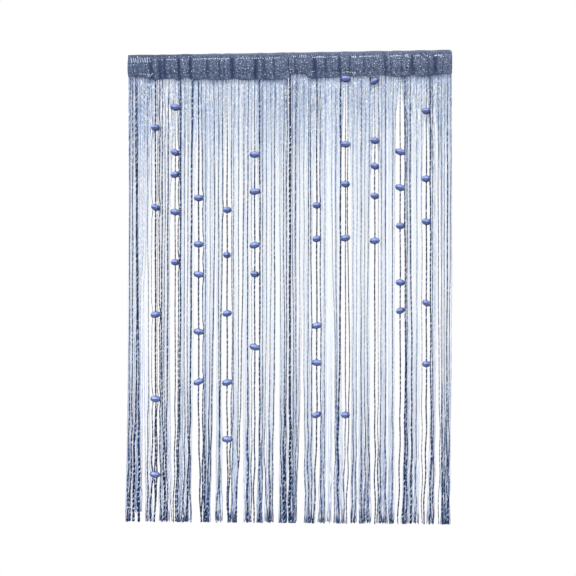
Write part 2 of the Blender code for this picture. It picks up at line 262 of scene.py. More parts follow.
LEFT_LOCKS = table(
    Lock,
    (0, 5, -490, 17, -500, 15, 0, 1), (0, 9, -467, 26, -473, 36, 34, 1),
    (0, 3, -443, 20, -434, 22, 3, 0.2), (1, 7, -382, 28, -383, 44, 4, 0.75),
    (2, 6, -329, 15, -340, 19, 0, 0.15), (2, 6, -306, 22, -316, 24, 3, 0.4),
    (3, 6, -256, 16, -257, 18, 0, 0.2), (3, 5, -236, 17, -249, 13, 2, 0.1),
    (3, 5, -215, 18, -215, 23, 6, 0.05), (4, 6, -165, 19, -170, 19, 0, 0.1),
    (4, 6, -131, 24, -127, 21, 2, 0.15), (5, 7, -79, 20, -91, 18, 0, 0.05),
    (5, 6, -51, 26, -61, 24, 4, 0.1), (5, 8, -16, 29, -17, 28, 0, 0.2),
)
LEFT_RIBBONS = table(
    Ribbon,
    (-494, 2, 1, -2, -7, 2.4, 3.4), (-484.5, 1.5, 1, -3, -9, 2.6, 4),
    (-470.6, -4, -1.5, -7.5, -12, 3.6, 5.4), (-465.4, -3, -3, 1, 0, 3, 6.4),
    (-433.6, -3, -3, -3, -4.5, 1.6, 3.2), (-424.3, 0, 0, 1.5, -4.5, 1.4, 4.2),
    (-407.4, 1.5, 0.5, -1.5, -7, 1.4, 4.2), (-399.3, -0.5, -2, 1, 6, 3, 3),
    (-394.4, 3.5, 2.5, 7, 9.5, 3, 3.8), (-385.8, 3.5, 3, 3, 7, 1.8, 2.8),
    (-375, 3.5, 1, -3, 1.5, 3.4, 2.8), (-341.3, 0, -0.5, -3.5, -10.5, 2.6, 3.4),
    (-335.4, 1, 1, -4.5, -10, 4.2, 3.4), (-322.2, 0, 0.5, 0, -6.5, 1.4, 3.2),
    (-314, 3.5, 2.5, 3.5, -2, 1.6, 4.2), (-302.4, 5, 2, -2.5, -0.5, 4.2, 3),
    (-265.4, -4.5, 0, 0, -3, 2.6, 3.8), (-257.7, 1.5, 1.5, -1.5, -1.5, 1.8, 4.2),
    (-243.8, 0, 1.5, -3.5, -9, 1.6, 3.8), (-234.5, 3, 6, -6, -14, 2.6, 2.4), (-216, 0, 0, 2, -8, 2.2, 2.6),
    (-210, 6, 6, -3, -1.5, 3, 2.4), (-174, -2, -2, -6.5, -12.5, 2.2, 3.8),
    (-169.7, 1.5, 0, -3, -9, 1.8, 2.4), (-154.3, 0, 0, -3, -8, 2, 3.2), (-145, 7.5, 6, -8, -22, 2.6, 2.8),
    (-126.5, 3, 0, 0.5, -1.5, 2.8, 4.6), (-113.6, -2, -1, -0.5, -2, 1.4, 3),
    (-89.5, -1, 1, 0.5, -1.5, 3.8, 3.6), (-80.2, 0, 0, -1.5, -3, 1.8, 2), (-69, 1, 1, -5, 4.5, 1.8, 2.6),
    (-57, 1.5, 4.5, -2.5, 1, 1.6, 3.6), (-43.2, 1.5, 0, -6, -6, 2.8, 2.6),
    (-23.8, -4, -2.5, 0.5, -1, 1.4, 2.6), (-13, -1, -2.5, -2, -3, 2.4, 5.4),
    (-6.2, 1.5, 0, -3.5, -2, 2.4, 3.4),
)
LEFT_STITCHES = table(
    Stitches,
    (-487, -431, 18, 7.1, 2.6, 17), (-413, -388, 18, 24, 3.2, 3.6), (-376, -351, 18, 6.4, 3.2, 3.6),
    (-330, -308, 18, 20, 3.2, 3.6), (-293, -268, 18, 6.6, 3.6, 3.6), (-260, -185, 18, 5.8, 3.4, 3.8),
    (-156, -104, 18, 8.6, 3.4, 3.6), (-100, -28, 18, 7.2, 3.2, 3.8), (-457, -424, 63, 6.5, 2.6, 3.4),
)
LEFT_TANGLES = table(
    Tangle,
    (-376, 200, 26, 130, 4), (-255, 120, 30, 60, 3.5), (-330, 1330, 30, 100, 2.5),
    (-423, 1350, 30, 110, 4), (-3, 250, 12, 400, 2),
)
LEFT = Panel(
    "left", -499, -0.3, 11, LEFT_CREASES, LEFT_EDGES, LEFT_COLUMNS,
    LEFT_LOCKS, LEFT_RIBBONS, LEFT_STITCHES, LEFT_TANGLES,
)

RIGHT_CREASES = table(
    Crease,
    (22, 2, 6), (48, 1.6, 6, 3), (80, 4, 9, 4), (97, 1.3, 5), (114, 2.6, 6, 2), (136, 1.2, 5),
    (157, 3.6, 6), (188, 3, 6, -2), (209, 1.3, 5, 2), (231, 2.2, 6), (262, 1.4, 6), (296, 3, 8, 3),
    (315, 2, 5, 2), (346, 2.4, 5), (378, 3.8, 9, 3), (402, 1.4, 5), (426, 2.6, 7, 4), (447, 3.8, 9),
    (471, 1.8, 5, -2),
)
RIGHT_EDGES = table(
    Edge,
    (0, 66), (52, 67), (66, 79), (84, 82), (96, 79), (148, 78), (164, 72), (185, 72), (200, 77), (222, 73),
    (250, 78), (281, 74), (318, 78), (349, 81), (380, 75), (414, 81), (438, 76), (481, 72), (499, 72),
)
RIGHT_COLUMNS = table(
    Column,
    (86.5, 77, 470, 3.2), (174.5, 167, 300, 2.2), (264, 265, 420, 2.8), (341.5, 335, 200, 2.8),
    (421, 413, 380, 3),
)
RIGHT_LOCKS = table(
    Lock,
    (0, 7, 13, 21, 9, 20, 0, 0.3), (0, 4, 35, 19, 17, 11, 5, 0.05), (0, 7, 60, 22, 64, 30, 0, 0.05),
    (1, 6, 111, 18, 101, 22, 2, 0.1), (1, 3, 130, 14, 125, 14, 6, 0.3), (1, 7, 149, 19, 156, 34, 0, 0.1),
    (2, 6, 200, 19, 198, 20, 3, 0.1), (2, 5, 221, 18, 223, 15, 0, 0.1), (2, 5, 240, 16, 243, 18, 5, 0.1),
    (3, 6, 290, 18, 286, 24, 2, 0.15), (3, 6, 315, 20, 313, 18, 0, 0.2), (4, 7, 367, 19, 356, 22, 0, 0.2),
    (4, 7, 392, 26, 381, 28, 4, 0.25), (5, 6, 445, 17, 434, 24, 3, 0.1),
    (5, 12, 482, 33, 479, 27, 0, 0.15),
)
RIGHT_RIBBONS = table(
    Ribbon,
    (3.7, 0.5, 0.5, 1, 0, 5.4, 7.4), (15.4, -3, -4.5, -3, -1, 1.6, 2.4), (23, -1, -1.5, 0, -6, 2.2, 1.8),
    (34, 0, 0, -6, -13, 1.4, 2), (47.2, -1, 0.5, 2.5, 4, 1.6, 2), (59.3, 2.5, 1.5, 0, 4, 2, 3),
    (71, -4.5, -3, -1, 0, 2.8, 2.6), (98.8, -2, -2, 0, 2, 2.8, 2.4), (111, 1.5, 0.5, -2, -1.5, 1.6, 2.2),
    (142, -9, -8.5, 0, -2.5, 1.4, 2.2), (148, -3, -3, 1, 6, 1.6, 2.6),
    (157.4, 2, 1.5, -5.5, -2.5, 4.2, 3.6), (186.7, -3.5, -6, -4.5, -9.5, 2.6, 2.8),
    (197.5, 0, 0, 0, -5, 1.4, 2.6), (208, 2, 2, -1, -4.5, 1.4, 2.4), (222.2, 1.5, 0, 1.5, 0, 2, 2.8),
    (231.5, 3, 1.5, 3, 1.5, 1.4, 3), (240.7, 9.5, 4, 4.5, 1.5, 1.6, 3), (274.5, 1, 0.5, -1, -2, 1.4, 3.2),
    (282.4, 3, 1.5, -1.5, -3, 1.4, 2.8), (297.5, -1, -1, -1, 0.5, 2, 3.2), (317.9, 2, 0, 0, -3, 2.2, 2.4),
    (357.4, -1.5, -1.5, -2.5, -7, 3.6, 4.8), (361.7, 0.5, 0.5, -0.5, -2, 2.4, 3.6),
    (376.5, -4.5, -4.5, -1, -3, 3.4, 4.8), (392, -1.5, 0, -3, -3, 1.4, 2.2),
    (407.4, -1.5, 0, 0, 0, 1.4, 2), (433.9, -2, -0.5, 1.5, -4, 3.6, 3.8),
    (438.8, 0.5, 0, 3.5, 1, 1.8, 2.8), (458.6, -2, -1.5, 3, -2, 2, 1.8), (466, 0, 0.5, 2, 3, 1.6, 3.6),
    (476.5, -0.5, -1, 0, 0, 1.2, 2.6), (483, 1.5, 2, 0, 1, 3, 2.8), (490.7, 4, 3.5, -2, -2, 1.8, 2.8),
)
RIGHT_STITCHES = table(
    Stitches,
    (15, 22, 13, 5.5, 3, 4), (34, 54, 14, 6.2, 2.6, 10), (74, 84, 18, 5, 3.6, 4),
    (90, 112, 18, 5.4, 4.2, 4.4), (136, 148, 18, 5.2, 4, 3.4), (194, 208, 18, 5.6, 2.8, 8),
    (219, 275, 18, 6.2, 3.8, 4), (312, 343, 18, 4.6, 3.6, 3.6), (358, 364, 18, 5.5, 2.6, 8),
    (384, 402, 19, 5.4, 3.6, 3.4), (423, 425, 19, 5.5, 2.6, 7), (447, 467, 18, 5.2, 4.4, 4.6),
    (182, 206, 66, 7, 3, 3.6),
)
RIGHT_TANGLES = table(
    Tangle,
    (408, 190, 70, 90, 3.5), (470, 420, 26, 200, 2), (76, 430, 24, 160, 2.5), (90, 90, 20, 60, 3.5),
    (442, 1330, 30, 110, 3), (372, 1340, 30, 110, 3),
)
RIGHT = Panel(
    "right", 0.3, 499, 23, RIGHT_CREASES, RIGHT_EDGES, RIGHT_COLUMNS,
    RIGHT_LOCKS, RIGHT_RIBBONS, RIGHT_STITCHES, RIGHT_TANGLES,
)


def mix(a, b, share):
    return a + (b - a) * share


def smooth(share):
    """Eases a share from 0 to 1."""
    share = min(max(share, 0), 1)
    return share * share * (3 - 2 * share)


def hump(distance, width):
    """A soft bump, one at its middle."""
    return exp(-(distance / width) ** 2)


def curve_through(knots, values, at):
    """Value at a place on a smooth curve through a few given ones."""
    if at <= knots[0]:
        return values[0]
    if at >= knots[-1]:
        return values[-1]
    index = 0
    while at > knots[index + 1]:
        index += 1
    slopes = []
    for first, last in ((max(index - 1, 0), index + 1), (index, min(index + 2, len(knots) - 1))):
        slopes.append((values[last] - values[first]) / (knots[last] - knots[first]))
    span = knots[index + 1] - knots[index]
    share = (at - knots[index]) / span
    bend = span * share * (1 - share) * mix(slopes[0], -slopes[1], share)
    return mix(values[index], values[index + 1], smooth(share)) + bend


# Shader parts


def add_node(tree, kind, settings=None, values=None):
    made = tree.nodes.new("ShaderNode" + kind)
    for name, value in (settings or {}).items():
        setattr(made, name, value)
    for socket, value in (values or {}).items():
        made.inputs[socket].default_value = value
    return made


def feed(tree, socket, source):
    """Puts a number in a socket, or links another socket to it."""
    if isinstance(source, (int, float)):
        socket.default_value = source
    else:
        tree.links.new(source, socket)


def calculate(tree, operation, first, second=0, clamp=False):
    made = add_node(tree, "Math", {"operation": operation, "use_clamp": clamp})
    feed(tree, made.inputs[0], first)
    feed(tree, made.inputs[1], second)
    return made.outputs[0]


def weigh(tree, first, second, share):
    """A mean of two numbers, of which share is the second's part."""
    first_part = calculate(tree, "MULTIPLY", first, 1 - share)
    return calculate(tree, "ADD", first_part, calculate(tree, "MULTIPLY", second, share))


def ramp(tree, source, low, high, out_low=0, out_high=1):
    """Maps low to out_low and high to out_high, clamped."""
    values = {"From Min": low, "From Max": high, "To Min": out_low, "To Max": out_high}
    made = add_node(tree, "MapRange", {"clamp": True}, values)
    feed(tree, made.inputs["Value"], source)
    return made.outputs["Result"]


def blend(tree, share, first, second):
    """Mixes two colours, or the colours of two sockets."""
    made = add_node(tree, "Mix", {"data_type": "RGBA"})
    feed(tree, made.inputs["Factor"], share)
    sockets = [socket for socket in made.inputs if socket.type == "RGBA"]
    for socket, colour in zip(sockets, (first, second)):
        if isinstance(colour, tuple):
            socket.default_value = (*colour, 1)
        else:
            tree.links.new(colour, socket)
    return [socket for socket in made.outputs if socket.type == "RGBA"][0]


def read_attributes(tree, *names):
    return [add_node(tree, "Attribute", {"attribute_name": name}).outputs["Fac"] for name in names]


def read_place(tree, space="Object"):
    return add_node(tree, "TexCoord").outputs[space]


def read_normal(tree):
    return add_node(tree, "NewGeometry").outputs["Normal"]


def split_vector(tree, source):
    split = add_node(tree, "SeparateXYZ")
    tree.links.new(source, split.inputs[0])
    return split.outputs


def texture(tree, kind, place=None, settings=None, **values):
    """A texture laid over the object's own space, or over another place."""
    made = add_node(tree, "Tex" + kind, settings)
    tree.links.new(read_place(tree) if place is None else place, made.inputs["Vector"])
    for name, value in values.items():
        feed(tree, made.inputs[name], value)
    return made.outputs


def pick_cells(tree, cells, low, high, most=1):
    """Marks some of a texture's cells by their random colour."""
    picks = add_node(tree, "SeparateColor")
    tree.links.new(cells["Color"], picks.inputs[0])
    return ramp(tree, picks.outputs[0], low, high, 0, most)


def new_group(name, **inputs):
    """An empty shader group: its tree, its named numbers and the socket of its only result."""
    tree = bpy.data.node_groups.new(name, "ShaderNodeTree")
    for socket, value in inputs.items():
        made = tree.interface.new_socket(socket, in_out="INPUT", socket_type="NodeSocketFloat")
        made.default_value = value
    tree.interface.new_socket("Result", in_out="OUTPUT", socket_type="NodeSocketFloat")
    given = tree.nodes.new("NodeGroupInput").outputs
    return tree, given, tree.nodes.new("NodeGroupOutput").inputs[0]


def place_group(tree, group, **values):
    made = add_node(tree, "Group", {"node_tree": group})
    for name, value in values.items():
        feed(tree, made.inputs[name], value)
    return made.outputs[0]


def uneven_dye_group():
    """Slow light and dark patches, as yarn takes dye unevenly."""
    tree, given, result = new_group("uneven_dye", Scale=20, Reach=0.5)
    spots = texture(tree, "Noise", Scale=given["Scale"], Detail=3, Roughness=0.6)
    centred = calculate(tree, "SUBTRACT", spots["Fac"], 0.5)
    widened = calculate(tree, "MULTIPLY", centred, given["Reach"])
    tree.links.new(calculate(tree, "ADD", widened, 0.5, clamp=True), result)
    return tree


def silver_twist_group():
    """Silver thread wound round a string: one where it comes to the surface, and zero elsewhere."""
    tree, given, result = new_group("silver_twist", Along=0, Start=0, Pitch=0.013, Share=0.3)
    facing = split_vector(tree, read_normal(tree))
    around = calculate(tree, "ARCTAN2", facing["Y"], facing["X"])
    turns = calculate(tree, "DIVIDE", given["Along"], given["Pitch"])
    turns = calculate(tree, "ADD", turns, calculate(tree, "MULTIPLY", given["Start"], 17))
    turns = calculate(tree, "ADD", turns, calculate(tree, "DIVIDE", around, tau))
    swing = calculate(tree, "PINGPONG", turns, 0.5)
    over = calculate(tree, "SUBTRACT", calculate(tree, "MULTIPLY", given["Share"], 0.5), swing)
    tree.links.new(ramp(tree, over, -0.03, 0.03), result)
    return tree


def new_material(name, roughness, specular):
    made = bpy.data.materials.new(name)
    made.use_nodes = True
    shader = made.node_tree.nodes["Principled BSDF"]
    shader.inputs["Roughness"].default_value = roughness
    shader.inputs["Specular IOR Level"].default_value = specular
    return made, made.node_tree, shader


def paint(tree, shader, colour, roughness):
    tree.links.new(colour, shader.inputs["Base Color"])
    tree.links.new(roughness, shader.inputs["Roughness"])


def add_bump(tree, shader, height, strength, distance):
    bump = add_node(tree, "Bump", None, {"Strength": strength, "Distance": distance})
    tree.links.new(height, bump.inputs["Height"])
    tree.links.new(bump.outputs["Normal"], shader.inputs["Normal"])


def knit_finish(dye):
    """Slate-blue knit with silver in it, darker to the left, with painted shade in its creases and a
    painted highlight on its crest.
    """
    made, tree, shader = new_material("slate_knit", roughness=0.75, specular=0.3)
    hollow, crest = read_attributes(tree, "hollow", "crest")
    yarn = blend(tree, place_group(tree, dye, Scale=30, Reach=1.7), *KNIT_YARN)
    scaled = add_node(tree, "Mapping", None, {"Scale": (BAND_FLAT_WIDTH, BAND_FLAT_LENGTH, 1)})
    tree.links.new(read_place(tree, "UV"), scaled.inputs["Vector"])
    cloth = scaled.outputs["Vector"]
    loops = texture(tree, "Noise", cloth, Scale=210, Detail=3, Roughness=0.75)
    cells = texture(tree, "Voronoi", cloth, Scale=430, Randomness=0.9)
    wales = texture(tree, "Wave", cloth, {"bands_direction": "X"}, Scale=190, Distortion=0.6)
    courses = texture(tree, "Wave", cloth, {"bands_direction": "Y"}, Scale=240, Distortion=0.9)
    speckled = blend(tree, ramp(tree, loops["Fac"], 0.36, 0.60, 0.95, 0), yarn, KNIT_LOOPS)
    silver = pick_cells(tree, cells, 0.74, 0.92)
    # Painted shade in the creases: the silver dims there, and a dark colour is laid over them, more in
    # some patches than others
    crease_dimmed_silver = calculate(tree, "MULTIPLY", silver, ramp(tree, hollow, 0.2, 0.8, 0.45, 0.1))
    silvered = blend(tree, crease_dimmed_silver, speckled, KNIT_SILVER)
    patchy = ramp(tree, place_group(tree, dye, Scale=120, Reach=2.4), 0, 1, 0.35, 1.5)
    patchy_crease_shade = calculate(tree, "MULTIPLY", patchy, ramp(tree, hollow, 0.10, 0.95, 0, 0.9), clamp=True)
    leftward = ramp(tree, split_vector(tree, read_place(tree))["X"], -0.5, 0.35, 0.34, 0)
    dyed = blend(tree, leftward, silvered, KNIT_LEFT)
    shaded = blend(tree, patchy_crease_shade, dyed, KNIT_CREASE_SHADE)
    # Painted highlight along the top fold, where light from above falls
    crest_highlighted = blend(tree, ramp(tree, crest, 0, 1, 0, 0.72), shaded, KNIT_CREST_HIGHLIGHT)
    paint(tree, shader, crest_highlighted, ramp(tree, silver, 0, 1, 0.8, 0.4))
    add_bump(tree, shader, calculate(tree, "MULTIPLY", wales["Fac"], courses["Fac"]), 0.6, 0.0007)
    return made


def fine_finish(dye, twist):
    """Ice-blue to navy yarn, dark beside the band and in its loosened ends."""
    made, tree, shader = new_material("silver_blue_yarn", roughness=0.6, specular=0.25)
    along, shade = read_attributes(tree, "along", "shade")
    tone = weigh(tree, place_group(tree, dye, Scale=11, Reach=1), shade, 0.8)
    slate = blend(tree, ramp(tree, tone, 0.05, 0.42), *SLATE)
    ice = blend(tree, ramp(tree, tone, 0.42, 0.80), slate, ICE)
    veil = blend(tree, ramp(tree, shade, 0.2, 0.6), *VEIL)
    upper = blend(tree, ramp(tree, along, 0.02, 0.34, 0.86, 0), ice, veil)
    silver = place_group(tree, twist, Along=along, Start=shade, Pitch=0.017, Share=0.2)
    silvered = blend(tree, silver, upper, FINE_SILVER)
    # Painted glints: a few random cells of the yarn are painted near white
    cells = texture(tree, "Voronoi", Scale=250, Randomness=1)
    glinting = blend(tree, pick_cells(tree, cells, 0.91, 0.93, 0.9), silvered, FINE_GLINT)
    rooted = blend(tree, ramp(tree, along, 0.002, 0.022, 0.9, 0), glinting, FINE_ROOT)
    lower = blend(tree, ramp(tree, along, 0.72, 1.36, 0, 0.56), rooted, FINE_LOWER)
    tuft = ramp(tree, split_vector(tree, read_place(tree))["Z"], -1.437, -1.392, 0.72, 0)
    ends = blend(tree, tuft, lower, FINE_TUFT)
    paint(tree, shader, ends, ramp(tree, silver, 0, 1, 0.75, 0.35))
    plies = texture(tree, "Wave", None, {"bands_direction": "Z"}, Scale=260, Distortion=0.5)
    add_bump(tree, shader, plies["Fac"], 0.35, 0.0003)
    return made


def ribbon_finish(dye, twist):
    """Deep navy ribbon yarn with a thin silver thread wound round it."""
    made, tree, shader = new_material("navy_ribbon_yarn", roughness=0.6, specular=0.15)
    along, shade = read_attributes(tree, "along", "shade")
    navy = blend(tree, place_group(tree, dye, Scale=26, Reach=1.8), *NAVY)
    ground = blend(tree, ramp(tree, along, 0.01, 0.26, 0.20, 0), navy, NAVY_ROOT)
    wound = place_group(tree, twist, Along=along, Start=shade, Pitch=0.0155, Share=0.24)
    breaks = texture(tree, "Noise", Scale=120, Detail=4, Roughness=0.7)
    silver = calculate(tree, "MULTIPLY", wound, ramp(tree, breaks["Fac"], 0.49, 0.55))
    silvered = blend(tree, silver, ground, RIBBON_SILVER)
    paint(tree, shader, silvered, ramp(tree, silver, 0, 1, 0.75, 0.3))
    direction = {"bands_direction": "DIAGONAL"}
    plies = texture(tree, "Wave", None, direction, Scale=240, Distortion=0.8)
    add_bump(tree, shader, plies["Fac"], 0.5, 0.0005)
    return made


def silver_finish():
    """Flat silver thread, brighter and duller from stitch to stitch."""
    made, tree, shader = new_material("silver_thread", roughness=0.3, specular=0.5)
    toned = blend(tree, *read_attributes(tree, "shade"), *STITCH_SILVER)
    grain = texture(tree, "Noise", Scale=900, Detail=2)
    paint(tree, shader, toned, ramp(tree, grain["Fac"], 0.3, 0.7, 0.2, 0.45))
    return made


def bead_finish(dye):
    """Pearly periwinkle acrylic, with painted shade on its lower facets and round its rim and a painted
    highlight where it turns up.
    """
    made, tree, shader = new_material("pearl_periwinkle", roughness=0.2, specular=0.25)
    facing = split_vector(tree, read_normal(tree))
    # Painted light from above: facets that face up are painted paler and those that face down darker,
    # mixed with uneven dye
    upward = ramp(tree, facing["Z"], -0.95, 0.9)
    share = weigh(tree, upward, place_group(tree, dye, Scale=170, Reach=1), 0.22)
    deep = blend(tree, ramp(tree, share, 0.14, 0.46), *BEAD_SHADE_TO_BODY)
    pale = blend(tree, ramp(tree, share, 0.42, 0.84), deep, BEAD_TOP_HIGHLIGHT)
    # Painted shade round the rim, where the facets turn away from the front
    forward = calculate(tree, "ABSOLUTE", facing["Y"])
    rim_shaded = blend(tree, ramp(tree, forward, 0.50, 0.97, 0.9, 0), pale, BEAD_RIM_SHADE)
    tree.links.new(rim_shaded, shader.inputs["Base Color"])
    shader.inputs["Coat Weight"].default_value = 0.15
    shader.inputs["Coat Roughness"].default_value = 0.08
    swirl = texture(tree, "Noise", Scale=240, Detail=1)
    add_bump(tree, shader, swirl["Fac"], 0.1, 0.0004)
    return made


def floor_finish():
    """Matt white paint with a trace of roller texture."""
    made, tree, shader = new_material("pale_floor", roughness=0.8, specular=0.5)
    shader.inputs["Base Color"].default_value = FLOOR_WHITE
    roller = texture(tree, "Noise", Scale=60, Detail=3)
    add_bump(tree, shader, roller["Fac"], 0.05, 0.001)
    return made


# Pieces


def add_object(name, data):
    made = bpy.data.objects.new(name, data)
    bpy.context.scene.collection.objects.link(made)
    return made


def add_mesh(name, bm, finish):
    mesh = bpy.data.meshes.new(name)
    bm.to_mesh(mesh)
    bm.free()
    mesh.materials.append(finish)
    return add_object(name, mesh)


def add_piece(name, bm, finish, rounded=True):
    """Adds a piece of the curtain, shaded smooth if it is rounded."""
    made = add_mesh(name, bm, finish)
    if rounded:
        made.data.shade_smooth()
    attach(made, "root")
    return made


def add_ball(bm, matrix):
    """Adds a ball of radius one, laid and stretched by a matrix."""
    return bmesh.ops.create_icosphere(bm, subdivisions=1, radius=1, matrix=matrix)["verts"]


# Band


def level_value(column, drop):
    drops = [level.drop for level in BAND_LEVELS]
    return curve_through(drops, [getattr(level, column) for level in BAND_LEVELS], drop)


def gather_wave(panel, x):
    """Half a wave over each gather: its share, whether the gather is an even one, and its width."""
    creases = [crease.x for crease in panel.creases if crease.depth >= MAIN_CREASE]
    bounds = [panel.start, *creases, panel.end]
    for index, (low, high) in enumerate(zip(bounds, bounds[1:])):
        if low <= x <= high:
            return sin(pi * (x - low) / (high - low)), index % 2 == 0, high - low
    return 0, True, 0


def edge_flutter(panel, x):
    """Sideways wave of the band's free edges, one gather to the front and the next to the back."""
    share, even, _ = gather_wave(panel, x)
    return (-FLUTTER if even else FLUTTER) * share


def swell(panel, x):
    """How far a gather puffs out, rounded between its two creases."""
    share, _, width = gather_wave(panel, x)
    return min(LEAST_SWELL + SWELL_SHARE * width, MOST_SWELL) * sqrt(max(0, share))


def edge_drop(panel, x):
    return curve_through([edge.x for edge in panel.edges], [edge.drop for edge in panel.edges], x)


def top_drop(panel, x):
    """The pair's right-hand top corner is rounded off."""
    inset = panel.end - x
    if panel.side == "left" or inset > END_ROUND:
        return 0
    return END_ROUND - sqrt(max(0, END_ROUND ** 2 - (END_ROUND - inset) ** 2))


def crease_at(panel, x, drop, spread):
    """How deep the creases are at a place on the band; spread widens them."""
    total = 0
    for crease in panel.creases:
        middle = crease.x + crease.lean * (drop / BAND_DEPTH - 0.5)
        if abs(x - middle) < 3 * crease.width:
            total += crease.depth * hump(x - middle, crease.width * spread)
    return total


def pleat(panel, x, drop, wall):
    """Small uneven gathers between the main creases."""
    drift = PLEAT_DRIFT * noise.noise(Vector((x * 0.021, drop * 0.006, panel.seed + wall)))
    calm = 0.45 + 0.75 * abs(noise.noise(Vector((x * 0.035, drop * 0.02, panel.seed * 2 + wall))))
    ripple = sin(tau * (x / PLEAT_LENGTH + drift))
    fine = 0.35 * noise.noise(Vector((x * 0.16, drop * 0.05, panel.seed * 3 + wall)))
    return PLEAT_HEIGHT * (calm * ripple + fine)


def band_height(panel, x, drop):
    """Height of a nominal drop: the pocket is level and both edges wander."""
    if drop < HEADER_SEAM:
        return -mix(top_drop(panel, x) + TOP_SAG, HEADER_SEAM, drop / HEADER_SEAM)
    if drop > POCKET_SEAM:
        return -mix(POCKET_SEAM, edge_drop(panel, x), (drop - POCKET_SEAM) / (BAND_DEPTH - POCKET_SEAM))
    return -drop


def corner_curl(panel, x, drop):
    """The left band's last corner turns forward over its neighbour."""
    if panel.side != "left":
        return 0
    return smooth((x + CURL_REACH) / CURL_REACH) * smooth((drop - CURL_DROP) / CURL_REACH)


def band_point(panel, x, drop, wall):
    """A point on the band's outer face: wall is -1 in front and 1 behind."""
    crease = CREASE_DEPTH * level_value("crease", drop) * crease_at(panel, x, drop, 0.75)
    half = level_value("half_depth", drop) + level_value("swell", drop) * swell(panel, x)
    half += level_value("pleat", drop) * pleat(panel, x, drop, wall) - crease
    sunk = max(0, LEAST_HALF_DEPTH - half)
    half = max(half, LEAST_HALF_DEPTH)
    depth = level_value("flutter", drop) * edge_flutter(panel, x) + wall * half + 0.8 * min(sunk, 2.5)
    return (Vector((x, depth, band_height(panel, x, drop))) + CURL * corner_curl(panel, x, drop)) * MM


def band_rows():
    """The cloth's rows from its front lower edge, over the top fold and down the back."""
    rows = [(BAND_DEPTH * (1 - step / FRONT_ROWS), -1) for step in range(FRONT_ROWS)]
    rows += [(0, cos(pi * (1 - step / FOLD_ROWS))) for step in range(FOLD_ROWS + 1)]
    rows += [(BAND_DEPTH * step / BACK_ROWS, 1) for step in range(1, BACK_ROWS + 1)]
    return rows


def fold_point(panel, x, wall):
    """A point on the rounded fold along the band's top."""
    front = band_point(panel, x, 0, -1)
    back = band_point(panel, x, 0, 1)
    point = front.lerp(back, (wall + 1) / 2)
    point.z += sqrt(max(0, 1 - wall * wall)) * (back.y - front.y) * FOLD_RISE
    return point


def make_band(panel, finish):
    """The doubled band: a grid of cloth laid over the gathers, with a wall of its own."""
    rows = band_rows()
    stations = round((panel.end - panel.start) / BAND_STATION)
    bm = bmesh.new()
    bmesh.ops.create_grid(bm, x_segments=stations, y_segments=len(rows) - 1, size=0.5)
    uv = bm.loops.layers.uv.new("cloth")
    for face in bm.faces:
        for loop in face.loops:
            loop[uv].uv = (loop.vert.co.x + 0.5, loop.vert.co.y + 0.5)
    hollow = bm.verts.layers.float.new("hollow")
    crest = bm.verts.layers.float.new("crest")
    for vert in bm.verts:
        x = mix(panel.start, panel.end, vert.co.x + 0.5)
        drop, wall = rows[round((vert.co.y + 0.5) * (len(rows) - 1))]
        # Weight of the painted shade in the creases, which starts below the header seam
        sunk = crease_at(panel, x, drop, 0.95) / CREASE_SHADE_DEPTH
        vert[hollow] = sunk * smooth((drop - 10) / 7)
        # Weight of the painted highlight along the top fold, on the right part of the pair
        vert[crest] = smooth(1.5 - 1.5 * drop / CREST) * smooth((x + 310) / 70)
        if abs(wall) < 1:
            vert.co = fold_point(panel, x, wall)
        else:
            vert.co = band_point(panel, x, drop, wall)
    bmesh.ops.recalc_face_normals(bm, faces=bm.faces)
    foremost = min(bm.faces, key=lambda face: face.calc_center_median().y)
    if foremost.normal.y > 0:
        bmesh.ops.reverse_faces(bm, faces=bm.faces)
    band = add_piece(f"{panel.side}_band", bm, finish)
    wall = band.modifiers.new("cloth", "SOLIDIFY")
    wall.thickness = CLOTH * MM
    wall.offset = -1
    return band


def on_band(panel, x, drop, width, height, lean):
    """Where one silver stitch lies on the band's front, as a matrix for a ball of radius one."""
    point = band_point(panel, x, drop, -1)
    across = (band_point(panel, x + 1, drop, -1) - point).normalized()
    down = (band_point(panel, x, drop + 1.5, -1) - point).normalized()
    out = across.cross(down).normalized()
    if out.y > 0:
        out = -out
    side = (across * cos(lean) + down * sin(lean)).normalized()
    up = out.cross(side)
    axes = (side * width / 2 * MM, up * height / 2 * MM, out * STITCH_THICKNESS * MM)
    return Matrix.Translation(point + out * STITCH_PROUD * MM) @ Matrix(axes).transposed().to_4x4()


def row_stitches(panel, rng):
    """The silver rows along the header: place, size, lean and brightness of each stitch."""
    made = []
    for row in panel.stitches:
        for index in range(round((row.end - row.start) / row.step) + 1):
            x = row.start + (index + rng.uniform(-0.12, 0.12)) * row.step
            slanted = row.height > SLANTED_HEIGHT
            lean = rng.uniform(-0.2, 0.1) - (0.25 if slanted else 0)
            tall = row.height * rng.uniform(0.8, 1.2)
            tone = rng.uniform(0.35, 0.65) if slanted else rng.uniform(0.85, 1)
            made.append((x, row.drop + rng.uniform(-0.8, 0.8), row.width, tall, lean, tone))
    return made


def loose_stitches(panel, rng):
    """Short floats of silver thread all over the band, closer together lower down."""
    made = []
    columns = round((panel.end - panel.start) / FLECK_PITCH)
    rows = round((BAND_DEPTH - 2 * FLECK_MARGIN) / FLECK_PITCH)
    for column in range(columns):
        for row in range(rows):
            x = panel.start + (column + rng.uniform(0.15, 0.85)) * FLECK_PITCH
            drop = FLECK_MARGIN + (row + rng.uniform(0.15, 0.85)) * FLECK_PITCH
            chance = mix(*FLECK_CHANCES, drop / BAND_DEPTH)
            if rng.random() < chance and crease_at(panel, x, drop, 0.9) < rng.uniform(1.2, 4.5):
                share = rng.random()
                size = mix(*FLECK_SIZES, share * share)
                made.append((x, drop, size, size * rng.uniform(0.8, 1.3), 0, mix(0.3, 1, share)))
    return made


